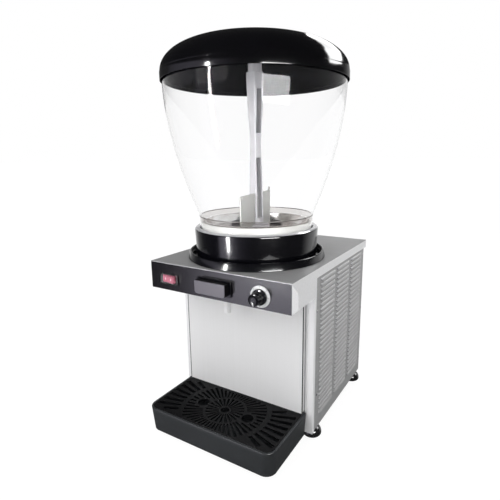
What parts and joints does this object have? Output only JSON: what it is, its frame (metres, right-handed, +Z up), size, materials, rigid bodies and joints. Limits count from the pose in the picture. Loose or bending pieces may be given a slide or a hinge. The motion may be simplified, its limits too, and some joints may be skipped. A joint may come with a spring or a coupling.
{
  "type": "juice dispenser",
  "caption": "Cold drink dispenser: clear flared bowl with a domed lid and an agitator on a louvred steel cabinet with a push tap, a dial and a drip tray.",
  "frame": {"origin": "middle of the part's footprint, on the surface that the feet stand on", "axes": "+Z up, +Y towards the back of the machine, so the tap and the drip tray face -Y, +X to the right of someone facing the tap"},
  "size_m": [0.3212, 0.402, 0.689],
  "materials": {
    "brushed_steel": "fine brushed sheet",
    "polished_steel": "polished",
    "galvanised_steel": "dull zinc",
    "black_gloss": "glossy moulded",
    "black_plastic": "satin moulded",
    "black_enamel": "stove enamel",
    "tray_plastic": "satin moulded",
    "button_plastic": "satin moulded",
    "clear_plastic": "clear moulded",
    "white_plastic": "satin moulded",
    "red_plastic": "glossy moulded",
    "white_gasket": "moulded silicone",
    "black_rubber": "moulded",
    "bare_aluminium": "finned block"
  },
  "bodies": {
    "cabinet": {"back_panel": "brushed_steel", "base_pan": "galvanised_steel", "bowl_gasket": "white_gasket", "button_guide": "black_plastic", "button_spring": "polished_steel", "cable_gland": "black_plastic", "collar": "black_gloss", "compressor": "black_enamel", "condenser": "bare_aluminium", "dial_plate": "white_plastic", "drip_ring": "black_gloss", "evaporator_plate": "polished_steel", "fan_motor": "galvanised_steel", "fan_shroud": "galvanised_steel", "fascia": "brushed_steel", "foot_back_left": "black_rubber", "foot_back_right": "black_rubber", "foot_front_left": "black_rubber", "foot_front_right": "black_rubber", "front_frame_left": "brushed_steel", "front_frame_right": "brushed_steel", "head_underside": "brushed_steel", "mixer_motor": "galvanised_steel", "motor_bracket": "galvanised_steel", "outlet_tube": "clear_plastic", "side_panel_left": "brushed_steel", "side_panel_right": "brushed_steel", "splash_panel": "polished_steel", "spout": "white_plastic", "switch_cover": "clear_plastic", "switch_frame": "black_plastic", "tap_valve": "black_plastic", "thermostat_body": "black_plastic", "top_cover": "brushed_steel"},
    "bowl": {"bowl": "clear_plastic"},
    "lid": {"lid": "black_gloss", "lid_boss": "black_gloss"},
    "agitator": {"agitator": "white_plastic", "agitator_rod": "polished_steel"},
    "drive": {"drive_magnet": "black_plastic"},
    "button": {"push_button": "button_plastic"},
    "rocker": {"switch_rocker": "red_plastic"},
    "knob": {"thermostat_knob": "black_plastic"},
    "tray": {"drip_tray": "tray_plastic"},
    "grid": {"drip_grid": "tray_plastic"},
    "fan": {"condenser_fan": "black_plastic"}
  },
  "joints": [
    {"name": "bowl_lift", "type": "slide", "parent": "cabinet", "child": "bowl", "axis": [0, 0, 1], "range_m": [0, 0.31]},
    {"name": "lid_lift", "type": "slide", "parent": "bowl", "child": "lid", "axis": [0, 0, 1], "range_m": [0, 0.06]},
    {"name": "agitator_spin", "type": "hinge", "parent": "cabinet", "child": "agitator", "pos_m": [0, -0.0262, 0.379], "axis": [0, 0, 1], "continuous": true},
    {"name": "drive_spin", "type": "hinge", "parent": "cabinet", "child": "drive", "pos_m": [0, -0.0262, 0.35], "axis": [0, 0, 1], "continuous": true},
    {"name": "button_press", "type": "slide", "parent": "cabinet", "child": "button", "axis": [0, 1, 0], "range_m": [0, 0.006], "stiffness_N_per_m": 600, "springref_m": -0.003, "deforming": ["button_spring"]},
    {"name": "rocker_tilt", "type": "hinge", "parent": "cabinet", "child": "rocker", "pos_m": [-0.096, -0.1565, 0.2915], "axis": [0, 0, 1], "range_deg": [0, 16]},
    {"name": "knob_turn", "type": "hinge", "parent": "cabinet", "child": "knob", "pos_m": [0.087, -0.159, 0.2906], "axis": [0, 1, 0], "range_deg": [0, 270]},
    {"name": "tray_slide", "type": "slide", "parent": "cabinet", "child": "tray", "axis": [0, -1, 0], "range_m": [0, 0.12]},
    {"name": "grid_lift", "type": "slide", "parent": "tray", "child": "grid", "axis": [0, 0, 1], "range_m": [0, 0.05]},
    {"name": "fan_spin", "type": "hinge", "parent": "cabinet", "child": "fan", "pos_m": [0.082, 0.061, 0.131], "axis": [1, 0, 0], "continuous": true}
  ],
  "couplings": [
    {"joint": "drive_spin", "follows": "agitator_spin", "ratio": 1}
  ]
}
